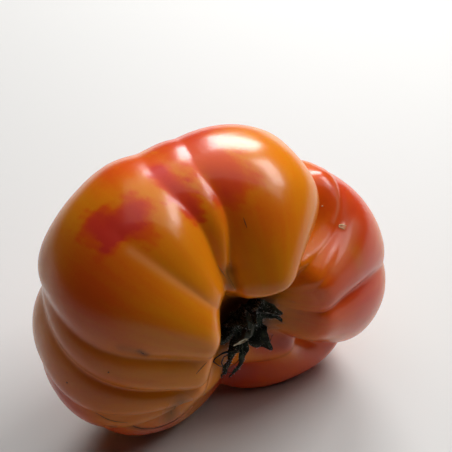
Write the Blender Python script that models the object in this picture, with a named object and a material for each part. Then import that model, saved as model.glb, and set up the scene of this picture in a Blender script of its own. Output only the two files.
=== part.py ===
"""A large ribbed slicing tomato, as picked, standing on the rim of its flattened body.

Metres, +Z up. The fruit's long side lies along X, its stem end faces -Y, and the origin
is on the surface that it stands on, under the middle of its box.
"""

import math
from collections import namedtuple

import bmesh
import bpy
import numpy as np

GAP = 0.0003  # between pieces that touch
SHARP_ANGLE = math.radians(50)  # an edge between faces that meet at more than this isn't smoothed

# The fruit grew as ribs round one axis, from the stem to the blossom end. A point of its
# skin is given by an angle round that axis, anticlockwise from +X as seen from the stem
# end, and by a turn, which is 0 in the stem cavity, 90 at the rim and 180 at the blossom
# end. Both are in degrees, and lengths are in metres.
STEM_AT = (0.0012, 0.0000, 0.0415)  # where the stem axis crosses the fruit's middle plane
STEM_TILT = math.radians(7)  # how far the stem end looks up

# One rib, with the groove on its clockwise side.
#   groove          the groove's angle at the rim
#   swing, sway     how far it has swung at the stem, and how far it bows out halfway to the rim
#   depth, rim      the groove's depth at the shoulder, and the share of it left at the rim
#   before, after   over how many degrees the groove fades on its clockwise side and its other
#   reach, rise     how far the rib's crest stands out from the axis, and above the middle plane
#   mouth           the stem cavity's radius at this rib
Rib = namedtuple("Rib", "name groove swing sway depth rim before after reach rise mouth")
RIBS = (
    Rib("right", -5, 6, 3.5, 0.0034, 0.25, 8, 5, 0.0556, 0.030, 0.0180),
    Rib("wedge", 31, 0, 0, 0.0006, 0.1, 3, 3, 0.0530, 0.030, 0.0190),
    Rib("right_upper", 38, 12, -9, 0.0019, 0.55, 7, 3, 0.0538, 0.029, 0.0205),
    Rib("crown", 50, 15, -14, 0.0140, 0.7, 6, 8, 0.0555, 0.037, 0.0176),
    Rib("narrow", 97.5, 19, -8, 0.0046, 0.18, 11, 3, 0.0560, 0.034, 0.0168),
    Rib("upper_left", 110.5, 9, -6, 0.0060, 0.12, 7, 6, 0.0600, 0.036, 0.0222),
    Rib("left", 130, -4, 0, 0.0014, 0.1, 5, 7, 0.0620, 0.039, 0.0185),
    Rib("left_lower", 158.5, 0, 4.5, 0.0020, 1.15, 3.5, 8, 0.0620, 0.037, 0.0170),
    Rib("foot_upper", 164.5, 29, 1, 0.0040, 0.6, 3.5, 8, 0.0618, 0.037, 0.0175),
    Rib("foot", 184.5, 27, 0, 0.0034, 0.6, 3.5, 7, 0.0610, 0.036, 0.0185),
    Rib("foot_inner", 204, 14, 0, 0.0034, 0.6, 3.5, 7, 0.0552, 0.026, 0.0195),
    Rib("right_foot", 264, 0, 0, 0.0300, 0.65, 22, 22, 0.0520, 0.021, 0.0190),
    Rib("right_lower", -36, -3, -6, 0.0135, 0.15, 6, 5, 0.0600, 0.028, 0.0180),
)
CREASE_ROUND = 1.0  # degrees over which a groove's bottom is rounded
SWING_PAST_RIM = 10  # degrees of turn past the rim over which a groove stops swinging
SHARE_TURNS = (0, 8, 29, 90, 140, 172, 180)  # where the share of a groove's depth is given
SHOULDER_SHARES = (0, 0.03, 1, 0, 0.15, 0.05, 0)  # of the full depth
RIM_SHARES = (0, 0, 0, 1, 0.5, 0, 0)  # of the depth left at the rim
CORE_SHARE = 0.5  # radius of the ring that the grooves sink towards, as a share of the reach

BACK = 0.034  # from the middle plane to the blossom end
SIDE_ROUND = 0.85  # lower makes the rim fuller, and 1 gives an ellipse
FRONT_ROUND = 0.80  # lower makes the stem side flatter
BACK_ROUND = 0.90  # lower makes the blossom side flatter
FLOOR = 0.014  # the stem cavity's floor, above the middle plane
CAVITY_WALL = 4.4  # higher makes the cavity's wall steeper
DIMPLE_DEPTH = 0.006  # the hollow at the blossom end
DIMPLE_RADIUS = 0.012

ROWS = 42  # points from the cavity's floor to the blossom end
PROFILE_ANGLE = 142  # a smooth crest, on which the rows are spaced evenly
COLUMN_DEG = 3.4  # about how far apart the columns of points stand
COLUMN_CROWD = 0.45  # how much closer the columns stand at a groove than on a crest

# One dried sepal of the calyx.
#   angle, sway    where it leaves the disc, and how far it has turned round the axis at its tip
#   length, width  of the blade
#   lift, bend     how steeply it leaves the disc, and how far it has bent up at its tip
#   twist          how far the blade has turned about its own length at its tip
Sepal = namedtuple("Sepal", "angle sway length width lift bend twist")
SEPALS = (
    Sepal(10, -12, 0.0088, 0.0064, 34, 15, 30),
    Sepal(44, -4, 0.0125, 0.0064, 42, 40, -20),
    Sepal(90, 10, 0.0105, 0.0064, 50, 60, 30),
    Sepal(138, -8, 0.0110, 0.0064, 45, 60, -50),
    Sepal(190, -15, 0.0110, 0.0050, 35, 0, 50),
    Sepal(232, 12, 0.0190, 0.0032, 30, -60, 120),
    Sepal(262, -18, 0.0165, 0.0032, 35, -50, -140),
    Sepal(293, 6, 0.0104, 0.0064, 26, 60, 25),
)
BLADE_STATIONS = 10  # rings of points along a blade
BLADE_THICK = 0.0010
BLADE_TAPER = 0.75  # share of its width that a blade has lost at its tip
TAPER_CURVE = 1.4  # higher keeps the blade wide for longer
TURN_CURVE = 1.5  # higher leaves more of the sway and twist to the tip
# A blade's section, in half widths and half thicknesses.
BLADE_SECTION = ((1, 0), (0.4, 1), (-0.4, 1), (-1, 0), (-0.4, -1), (0.4, -1))

DISC_RADIUS = 0.0060  # the disc that the sepals grow from
DISC_THICK = 0.0018
DISC_DISH = 0.0010  # how far the disc's rim stands above its middle
DISC_SIDES = 24
DISC_PROFILE = ((0, 0), (0.4, 0), (0.7, 0), (0.95, 0.15), (1, 0.5), (0.95, 0.85), (0.7, 1), (0.4, 1), (0, 1))
ROOT_RADIUS = 0.0037  # where a blade's midrib starts, inside the disc

STUB_RADIUS = 0.0021  # the broken stalk
STUB_LENGTH = 0.0085
STUB_LEAN = (-0.0066, 0.0)  # how far its end hangs over, along +X and up
STUB_SIDES = 12
STUB_PROFILE = ((0, 0), (1.15, 0), (1.0, 0.25), (0.95, 0.5), (1.0, 0.75), (1.15, 0.96), (0.8, 1), (0, 1))


def from_stem(across, up, height):
    """World coordinates of a point given beside, above and along the stem axis."""
    x = STEM_AT[0] + across
    y = STEM_AT[1] + up * math.sin(STEM_TILT) - height * math.cos(STEM_TILT)
    z = STEM_AT[2] + up * math.cos(STEM_TILT) + height * math.sin(STEM_TILT)
    return np.stack([x, y, z], axis=-1)


def groove_angle(rib, turn):
    """A groove swings evenly from the rim to the stem, bowing out, and a little further past the rim."""
    past_rim = np.maximum(turn - 90, 0) / SWING_PAST_RIM
    swung = np.where(turn < 90, 1 - turn / 90, (np.exp(-past_rim) - 1) * SWING_PAST_RIM / 90)
    bowed = np.sin(np.radians(2 * np.minimum(turn, 90))) ** 2
    return rib.groove + rib.swing * swung + rib.sway * bowed


def smooth_through(value, places, heights):
    """A curve that passes through the heights at the places and is level at each."""
    row = np.clip(np.searchsorted(places, value, side="right") - 1, 0, len(places) - 2)
    low, high = np.array(places)[row], np.array(places)[row + 1]
    start, end = np.array(heights)[row], np.array(heights)[row + 1]
    share = (value - low) / (high - low)
    return start + (end - start) * share**2 * (3 - 2 * share)


def through_crests(angle, values):
    """A smooth closed curve through one value at each rib's crest, read at any angle."""
    starts = np.unwrap([rib.groove for rib in RIBS], period=360)
    ends = np.append(starts[1:], starts[0] + 360)
    crests = (starts + ends) / 2
    crests = np.concatenate([crests[-2:] - 360, crests, crests[:2] + 360])
    values = np.concatenate([values[-2:], values, values[:2]])
    slopes = (values[2:] - values[:-2]) / (crests[2:] - crests[:-2])
    at = crests[1] + (angle - crests[1]) % 360
    i = np.clip(np.searchsorted(crests, at, side="right") - 1, 1, len(RIBS) + 1)
    span = crests[i + 1] - crests[i]
    t = (at - crests[i]) / span
    return (
        values[i] * (2 * t**3 - 3 * t**2 + 1)
        + values[i + 1] * (3 * t**2 - 2 * t**3)
        + slopes[i - 1] * span * (t**3 - 2 * t**2 + t)
        + slopes[i] * span * (t**3 - t**2)
    )


def groove_depth(rib, angle, turn):
    """How far one groove sinks the skin: a crease that fades to both sides over its own widths."""
    gap = (angle - groove_angle(rib, turn) + 180) % 360 - 180
    fade = np.where(gap < 0, rib.before, rib.after)
    crease = np.exp((CREASE_ROUND - np.hypot(gap, CREASE_ROUND)) / fade)
    shoulder = smooth_through(turn, SHARE_TURNS, SHOULDER_SHARES)
    rim = smooth_through(turn, SHARE_TURNS, RIM_SHARES)
    return rib.depth * crease * (shoulder + rib.rim * rim)


def fruit_point(angle, turn):
    """The skin's world coordinates at an angle and a turn, which may be arrays."""
    reach, rise, mouth = (
        through_crests(angle, np.array([getattr(rib, field) for rib in RIBS]))
        for field in ("reach", "rise", "mouth")
    )
    side = np.abs(np.sin(np.radians(turn)))
    face = np.cos(np.radians(turn))
    front = face > 0
    radius = reach * side**SIDE_ROUND
    height = np.where(front, rise * np.abs(face) ** FRONT_ROUND, -BACK * np.abs(face) ** BACK_ROUND)
    cavity = np.exp(-((radius / mouth) ** CAVITY_WALL))
    dimple = np.exp(-((radius / DIMPLE_RADIUS) ** 2))
    height += np.where(front, cavity * (FLOOR - height), dimple * DIMPLE_DEPTH)
    to_core = np.stack([reach * CORE_SHARE - radius, -height])
    distance = np.maximum(np.linalg.norm(to_core, axis=0), 1e-9)
    sunk = sum(groove_depth(rib, angle, turn) for rib in RIBS)
    move = np.tanh(sunk / distance) * to_core
    radius = radius + move[0]
    height = height + move[1]
    round_axis = np.radians(angle)
    return from_stem(radius * np.cos(round_axis), radius * np.sin(round_axis), height)


def even_turns():
    """Turns that stand evenly far apart along the skin."""
    turns = np.linspace(0, 180, 721)
    skin = fruit_point(np.full_like(turns, PROFILE_ANGLE), turns)
    along = np.concatenate([[0], np.cumsum(np.linalg.norm(np.diff(skin, axis=0), axis=1))])
    return np.interp(np.linspace(0, along[-1], ROWS), along, turns)


def fruit_grid():
    """Rows of skin points, with a column along each groove and closer columns beside it."""
    turns = even_turns()
    columns = []
    for rib, following in zip(RIBS, RIBS[1:] + RIBS[:1]):
        start = groove_angle(rib, turns)
        width = (groove_angle(following, turns) - start) % 360
        steps = max(3, round(width.max() / COLUMN_DEG))
        for step in range(steps):
            share = step / steps
            share -= COLUMN_CROWD * math.sin(2 * math.pi * share) / (2 * math.pi)
            columns.append(start + width * share)
    return fruit_point(np.array(columns).T, turns[:, None].repeat(len(columns), axis=1))


def skin_over(bm, rows):
    """A closed skin over rings of points. The first and the last ring shrink to a point each."""
    first = bm.verts.new(rows[0].mean(0))
    last = bm.verts.new(rows[-1].mean(0))
    rings = [[bm.verts.new(point) for point in row] for row in rows[1:-1]]
    for j in range(len(rows[0])):
        k = (j + 1) % len(rows[0])
        bm.faces.new((first, rings[0][j], rings[0][k]))
        bm.faces.new((last, rings[-1][k], rings[-1][j]))
        for near, far in zip(rings, rings[1:]):
            bm.faces.new((near[j], far[j], far[k], near[k]))


def turned(profile, radius, length, foot, sides, dish, lean=(0.0, 0.0)):
    """Rings round the stem axis. The profile has pairs of shares, of the radius and the length."""
    out, along = np.array(profile).T
    around = np.radians(np.arange(sides) * 360 / sides)
    across = (lean[0] * along**2)[:, None] + (radius * out)[:, None] * np.cos(around)
    up = (lean[1] * along**2)[:, None] + (radius * out)[:, None] * np.sin(around)
    height = (foot + length * along + dish * out**2)[:, None] + 0 * around
    return from_stem(across, up, height)


def new_object(name, bm, collection=None):
    bmesh.ops.recalc_face_normals(bm, faces=bm.faces)
    mesh = bpy.data.meshes.new(name)
    bm.to_mesh(mesh)
    bm.free()
    mesh.shade_smooth()
    thing = bpy.data.objects.new(name, mesh)
    (collection or bpy.context.scene.collection).objects.link(thing)
    return thing


def give_material(thing, name, color, roughness):
    material = bpy.data.materials.new(name)
    material.use_nodes = True
    shader = material.node_tree.nodes["Principled BSDF"]
    shader.inputs["Base Color"].default_value = (*color, 1)
    shader.inputs["Roughness"].default_value = roughness
    thing.data.materials.clear()
    thing.data.materials.append(material)
    thing.data.set_sharp_from_angle(angle=SHARP_ANGLE)


def build_fruit():
    """The skin, cut flat where the two lowest lobes press on the surface."""
    bm = bmesh.new()
    skin_over(bm, fruit_grid())
    everything = bm.verts[:] + bm.edges[:] + bm.faces[:]
    bmesh.ops.bisect_plane(bm, geom=everything, plane_co=(0, 0, 0), plane_no=(0, 0, -1), clear_outer=True)
    bmesh.ops.holes_fill(bm, edges=[edge for edge in bm.edges if edge.is_boundary])
    fruit = new_object("fruit", bm)
    give_material(fruit, "skin", (0.72, 0.22, 0.03), 0.3)


def blade_rings(sepal):
    """Rings of points along a sepal's curved midrib, with a point at each end."""
    s = np.linspace(0, 1, BLADE_STATIONS)
    step = sepal.length / (BLADE_STATIONS - 1)
    climb = np.radians(sepal.lift + sepal.bend * s)
    out = ROOT_RADIUS + np.concatenate([[0], np.cumsum(np.cos(climb[:-1]) * step)])
    high = FLOOR + GAP + DISC_THICK / 2 + np.concatenate([[0], np.cumsum(np.sin(climb[:-1]) * step)])
    round_axis = np.radians(sepal.angle + sepal.sway * s**TURN_CURVE)
    twist = np.radians(sepal.twist * s**TURN_CURVE)
    half = sepal.width / 2 * (1 - BLADE_TAPER * s**TAPER_CURVE)
    upward = np.array([0, 0, 1])
    rings = []
    for i in range(BLADE_STATIONS):
        outward = np.array([math.cos(round_axis[i]), math.sin(round_axis[i]), 0])
        along = outward * math.cos(climb[i]) + upward * math.sin(climb[i])
        side = np.cross(upward, outward)
        flat = side * math.cos(twist[i]) + np.cross(along, side) * math.sin(twist[i])
        thick = np.cross(flat, along) * BLADE_THICK / 2
        middle = outward * out[i] + upward * high[i]
        rings.append([middle + flat * half[i] * a + thick * b for a, b in BLADE_SECTION])
    rings = np.array([rings[0], *rings, rings[-1]])
    return from_stem(rings[..., 0], rings[..., 1], rings[..., 2])


def build_calyx():
    """Eight sepals, their roots sunk in a dished disc on the cavity's floor."""
    blades = bpy.data.collections.new("blades")
    bpy.context.scene.collection.children.link(blades)
    for number, sepal in enumerate(SEPALS):
        bm = bmesh.new()
        skin_over(bm, blade_rings(sepal))
        new_object(f"blade_{number}", bm, blades)
    bm = bmesh.new()
    skin_over(bm, turned(DISC_PROFILE, DISC_RADIUS, DISC_THICK, FLOOR + GAP, DISC_SIDES, DISC_DISH))
    calyx = new_object("calyx", bm)
    union = calyx.modifiers.new("blades", "BOOLEAN")
    union.operation = "UNION"
    union.operand_type = "COLLECTION"
    union.collection = blades
    evaluated = calyx.evaluated_get(bpy.context.evaluated_depsgraph_get())
    joined = bpy.data.meshes.new_from_object(evaluated)
    calyx.modifiers.clear()
    calyx.data = joined
    for blade in list(blades.objects):
        bpy.data.objects.remove(blade)
    bpy.data.collections.remove(blades)
    give_material(calyx, "dried_sepal", (0.03, 0.04, 0.02), 0.8)


def build_stem_stub():
    """The stalk's broken end, standing in the disc's hollow and hanging over a little."""
    foot = FLOOR + GAP + DISC_THICK + GAP
    dish = DISC_DISH * (STUB_RADIUS / DISC_RADIUS) ** 2
    bm = bmesh.new()
    skin_over(bm, turned(STUB_PROFILE, STUB_RADIUS, STUB_LENGTH, foot, STUB_SIDES, dish, STUB_LEAN))
    stub = new_object("stem_stub", bm)
    give_material(stub, "stalk", (0.12, 0.11, 0.04), 0.8)


def main():
    for old in list(bpy.data.objects):
        bpy.data.objects.remove(old)
    build_fruit()
    build_calyx()
    build_stem_stub()


main()
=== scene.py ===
import math

import bmesh
import bpy
import numpy as np
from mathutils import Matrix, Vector, noise


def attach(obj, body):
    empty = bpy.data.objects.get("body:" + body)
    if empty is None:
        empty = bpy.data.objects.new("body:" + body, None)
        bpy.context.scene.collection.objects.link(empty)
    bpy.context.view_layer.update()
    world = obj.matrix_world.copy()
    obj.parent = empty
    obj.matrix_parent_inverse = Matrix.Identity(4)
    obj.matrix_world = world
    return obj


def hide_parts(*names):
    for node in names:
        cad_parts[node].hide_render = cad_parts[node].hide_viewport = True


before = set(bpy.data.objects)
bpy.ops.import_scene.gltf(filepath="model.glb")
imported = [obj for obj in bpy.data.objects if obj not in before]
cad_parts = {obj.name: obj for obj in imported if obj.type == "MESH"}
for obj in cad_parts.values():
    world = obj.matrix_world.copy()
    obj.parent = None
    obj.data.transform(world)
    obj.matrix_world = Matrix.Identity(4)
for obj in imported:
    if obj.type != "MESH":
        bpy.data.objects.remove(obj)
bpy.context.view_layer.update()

# Shared helpers


def toLinear(hexColour):
    parts = [int(hexColour[i:i + 2], 16) / 255 for i in (1, 3, 5)]
    return (*[c / 12.92 if c <= 0.04045 else ((c + 0.055) / 1.055) ** 2.4 for c in parts], 1)


def setInputs(tree, node, inputs):
    # links each input to a node or one of its outputs, or sets it to a value
    for place, value in inputs.items():
        if isinstance(value, bpy.types.Node):
            value = next(out for out in value.outputs if out.enabled)
        if isinstance(value, bpy.types.NodeSocket):
            tree.links.new(value, node.inputs[place])
        else:
            node.inputs[place].default_value = value


def addNode(tree, kind, inputs=None, **settings):
    node = tree.nodes.new(kind)
    for name, value in settings.items():
        setattr(node, name, value)
    setInputs(tree, node, inputs or {})
    return node


def newMaterial(name):
    material = bpy.data.materials.new(name)
    material.use_nodes = True
    return material, material.node_tree, material.node_tree.nodes["Principled BSDF"]


def fillRamp(node, stops):
    # the ramp of a ColorRamp node, from pairs of a position and a hex colour
    elements = node.color_ramp.elements
    while len(elements) > 1:
        elements.remove(elements[-1])
    elements[0].position = stops[0][0]
    elements[0].color = toLinear(stops[0][1])
    for place, colour in stops[1:]:
        elements.new(place).color = toLinear(colour)


def newPiece(name, mesh, material):
    piece = bpy.data.objects.new(name, mesh)
    bpy.context.scene.collection.objects.link(piece)
    mesh.materials.clear()
    mesh.materials.append(material)
    mesh.shade_smooth()
    return piece


def closedMesh(name, *skins):
    # closed skins over rings of points: the first and the last ring of each shrink to a point
    points, faces, start = [], [], 0
    for rings in skins:
        rings = np.asarray(rings)
        count = rings.shape[1]
        points += [rings[:1].mean(1), rings[1:-1].reshape(-1, 3), rings[-1:].mean(1)]
        here = start + 1 + np.arange(count)
        beside = start + 1 + (np.arange(count) + 1) % count
        faces += [(start, a, b) for a, b in zip(here, beside)]
        for row in range(len(rings) - 3):
            low, high = row * count, (row + 1) * count
            faces += [(a + low, a + high, b + high, b + low) for a, b in zip(here, beside)]
        far = (len(rings) - 3) * count
        start += (len(rings) - 2) * count + 2
        faces += [(start - 1, b + far, a + far) for a, b in zip(here, beside)]
    mesh = bpy.data.meshes.new(name)
    mesh.from_pydata(np.vstack(points).tolist(), [], [tuple(int(v) for v in face) for face in faces])
    return mesh


def outwardFaces(mesh):
    # turns the faces of closed skins outwards
    bm = bmesh.new()
    bm.from_mesh(mesh)
    bmesh.ops.recalc_face_normals(bm, faces=bm.faces)
    bm.to_mesh(mesh)
    bm.free()


def newTree(name, inputs):
    # a geometry tree with named inputs, from pairs of a name and a kind, and the sockets that give them
    tree = bpy.data.node_groups.new(name, "GeometryNodeTree")
    tree.interface.new_socket("Geometry", in_out="OUTPUT", socket_type="NodeSocketGeometry")
    for label, kind in [("Geometry", "Geometry"), *inputs, ("Material", "Material")]:
        tree.interface.new_socket(label, in_out="INPUT", socket_type="NodeSocket" + kind)
    return tree, addNode(tree, "NodeGroupInput").outputs


def endTree(tree, given, shape):
    # gives the shape as plain geometry with its material
    shape = addNode(tree, "GeometryNodeRealizeInstances", {"Geometry": shape})
    shape = addNode(tree, "GeometryNodeSetMaterial", {"Geometry": shape, "Material": given["Material"]})
    addNode(tree, "NodeGroupOutput", {"Geometry": shape})


def applyTree(name, mesh, tree, values, material):
    # runs a geometry tree on a mesh and gives back a plain mesh
    holder = bpy.data.objects.new(name, mesh)
    bpy.context.scene.collection.objects.link(holder)
    modifier = holder.modifiers.new(name, "NODES")
    modifier.node_group = tree
    for socket in tree.interface.items_tree:
        if socket.item_type == "SOCKET" and socket.in_out == "INPUT" and socket.name in values:
            modifier[socket.identifier] = values[socket.name]
        if socket.item_type == "SOCKET" and socket.name == "Material":
            modifier[socket.identifier] = material
    holder.update_tag()
    evaluated = holder.evaluated_get(bpy.context.evaluated_depsgraph_get())
    result = bpy.data.meshes.new_from_object(evaluated)
    holder.modifiers.clear()
    bpy.data.objects.remove(holder)
    return result


def setAttribute(mesh, name, values, kind="FLOAT"):
    field = "value" if kind == "FLOAT" else "vector"
    attribute = mesh.attributes.get(name) or mesh.attributes.new(name, kind, "POINT")
    attribute.data.foreach_set(field, np.asarray(values, np.float32).ravel())


def getVectors(mesh, field):
    # the points of a mesh, field "co", or its normals, field "normal"
    flat = np.empty(len(mesh.vertices) * 3, np.float32)
    mesh.vertices.foreach_get(field, flat)
    return flat.reshape(-1, 3).astype(float)


def direction(azimuth, elevation):
    # from the fruit towards something at an azimuth, 0 for -Y and 90 for +X, and an elevation
    a, e = math.radians(azimuth), math.radians(elevation)
    return Vector((math.sin(a) * math.cos(e), -math.cos(a) * math.cos(e), math.sin(e)))


def smoothStep(value, low, high):
    t = np.clip((value - low) / (high - low), 0, 1)
    return t * t * (3 - 2 * t)


# The fruit: ribs round one axis, from the stem to the blossom end
# angles in degrees, anticlockwise from +X as seen from the stem end, lengths in metres

fruit = {
    "stem at": (0.0012, 0.0000, 0.0415),  # where the stem axis crosses the middle plane
    "Stem Tilt": math.radians(7),
    "Blossom Depth": 0.034,
    "Side Round": 0.85,
    "Front Round": 0.80,
    "Back Round": 0.90,
    "Cavity Floor": 0.014,
    "Cavity Wall": 4.4,  # how steep its wall is
    "Dimple Depth": 0.006,
    "Dimple Radius": 0.012,
    "Crease Round": 1.0,  # degrees over which a groove's bottom is rounded
    "Core Share": 0.5,
    "Undulation": 0.0004,  # how far the skin wanders in and out
    "Undulation Size": 0.020,
    "Seed": 3.0,
    "Foot Softness": 0.0016,  # how far from the ground the pressed foot starts to round off
    "swing past rim": 10,  # degrees of turn past the rim over which a groove stops swinging
    "rows": 200,
    "cavity rows": 0.33,  # share of the rows that lie in the first part of the turn
    "cavity turn": 0.24,  # how large that part is, as a share of the whole turn
    "column degrees": 0.94,
    "column crowd": 0.45,  # how much closer the columns stand at a groove than on a crest
}

# where the groove before each rib runs, how it swings and sways on its way to the stem, its depth,
# the share of it left at the rim, how fast it fades before and after, and the rib's distance from the
# axis, its height in front of the middle plane and the radius of the cavity there
ribFields = ("groove", "swing", "sway", "depth", "rim", "before", "after", "reach", "rise", "mouth")
ribTable = {
    "right": (-5, 6, 3.5, 0.0034, 0.25, 8, 5, 0.0556, 0.030, 0.018),
    "wedge": (31, 0, 0, 0.0006, 0.1, 3, 3, 0.0530, 0.030, 0.0190),
    "right upper": (38, 12, -9, 0.0019, 0.55, 7, 3, 0.0538, 0.029, 0.0205),
    "crown": (50, 15, -14, 0.0140, 0.7, 6, 8, 0.0555, 0.037, 0.0176),
    "narrow": (97.5, 19, -8, 0.0046, 0.18, 11, 3, 0.0560, 0.034, 0.0168),
    "upper left": (110.5, 9, -6, 0.0060, 0.12, 7, 6, 0.0600, 0.036, 0.0222),
    "left": (130, -4, 0, 0.0014, 0.1, 5, 7, 0.0620, 0.039, 0.0185),
    "left lower": (158.5, 0, 4.5, 0.0020, 1.15, 3.5, 8, 0.0620, 0.037, 0.0170),
    "foot upper": (164.5, 29, 1, 0.0040, 0.6, 3.5, 8, 0.0618, 0.037, 0.0175),
    "foot": (184.5, 27, 0, 0.0034, 0.6, 3.5, 7, 0.0610, 0.036, 0.0185),
    "foot inner": (204, 14, 0, 0.0034, 0.6, 3.5, 7, 0.0552, 0.026, 0.0195),
    "right foot": (264, 0, 0, 0.0300, 0.65, 22, 22, 0.0520, 0.021, 0.019),
    "right lower": (-36, -3, -6, 0.0135, 0.15, 6, 5, 0.0600, 0.028, 0.018),
}
ribs = {name: dict(zip(ribFields, row)) for name, row in ribTable.items()}


def throughCrests(angle, field):
    # a smooth closed curve through one value at each rib's crest
    starts = np.unwrap([rib["groove"] for rib in ribs.values()], period=360)
    ends = np.append(starts[1:], starts[0] + 360)
    crests = (starts + ends) / 2
    crests = np.concatenate([crests[-2:] - 360, crests, crests[:2] + 360])
    values = np.array([rib[field] for rib in ribs.values()])
    values = np.concatenate([values[-2:], values, values[:2]])
    slopes = (values[2:] - values[:-2]) / (crests[2:] - crests[:-2])
    at = crests[1] + (angle - crests[1]) % 360
    i = np.clip(np.searchsorted(crests, at, side="right") - 1, 1, len(ribs) + 1)
    span = crests[i + 1] - crests[i]
    t = (at - crests[i]) / span
    return (
        values[i] * (2 * t**3 - 3 * t**2 + 1)
        + values[i + 1] * (3 * t**2 - 2 * t**3)
        + slopes[i - 1] * span * (t**3 - 2 * t**2 + t)
        + slopes[i] * span * (t**3 - t**2)
    )


def swingShare(turn):
    # a groove swings evenly from the rim to the stem, and a little further past the rim
    fade = fruit["swing past rim"]
    past = (np.exp(-np.maximum(turn - 90, 0) / fade) - 1) / (90 / fade)
    return np.where(turn < 90, 1 - turn / 90, past)


def swayShare(turn):
    # a groove sways most halfway between the stem and the rim
    return np.sin(np.radians(2 * np.minimum(turn, 90))) ** 2


def grooveAngle(rib, turn):
    return rib["groove"] + rib["swing"] * swingShare(turn) + rib["sway"] * swayShare(turn)


def smoothThrough(value, places, heights):
    # passes through the heights at the places, level at each
    row = np.clip(np.searchsorted(places, value, side="right") - 1, 0, len(places) - 2)
    low, high = np.array(places)[row], np.array(places)[row + 1]
    start, end = np.array(heights)[row], np.array(heights)[row + 1]
    return start + (end - start) * smoothStep(value, low, high)


def fruitGrid():
    # the angle and the turn of every point, with a column along each groove
    shares = np.linspace(0, 1, fruit["rows"])
    turns = 180 * np.interp(shares, (0, fruit["cavity rows"], 1), (0, fruit["cavity turn"], 1))
    columns = []
    names = list(ribs)
    for name, following in zip(names, names[1:] + names[:1]):
        start = grooveAngle(ribs[name], turns)
        width = (grooveAngle(ribs[following], turns) - start) % 360
        steps = max(3, round(width.max() / fruit["column degrees"]))
        for step in range(steps):
            share = step / steps
            share -= fruit["column crowd"] * math.sin(2 * math.pi * share) / (2 * math.pi)
            columns.append(start + width * share)
    angles = np.array(columns).T
    return angles, turns[:, None].repeat(angles.shape[1], 1)


# what the tree reads at each point of the grid
fieldNames = (
    "angle", "turn", "reach", "rise", "mouth",
    "shoulderShare", "rimShare", "swingShare", "swayShare",
)


def bell(tree, value, width, steepness):
    # 1 where the value is 0, and falling towards 0 beyond the width
    share = addNode(tree, "ShaderNodeMath", {0: value, 1: width}, operation="DIVIDE")
    share = addNode(tree, "ShaderNodeMath", {0: share, 1: steepness}, operation="POWER")
    share = addNode(tree, "ShaderNodeMath", {0: share, 1: -1.0}, operation="MULTIPLY")
    return addNode(tree, "ShaderNodeMath", {0: share}, operation="EXPONENT")


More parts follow.
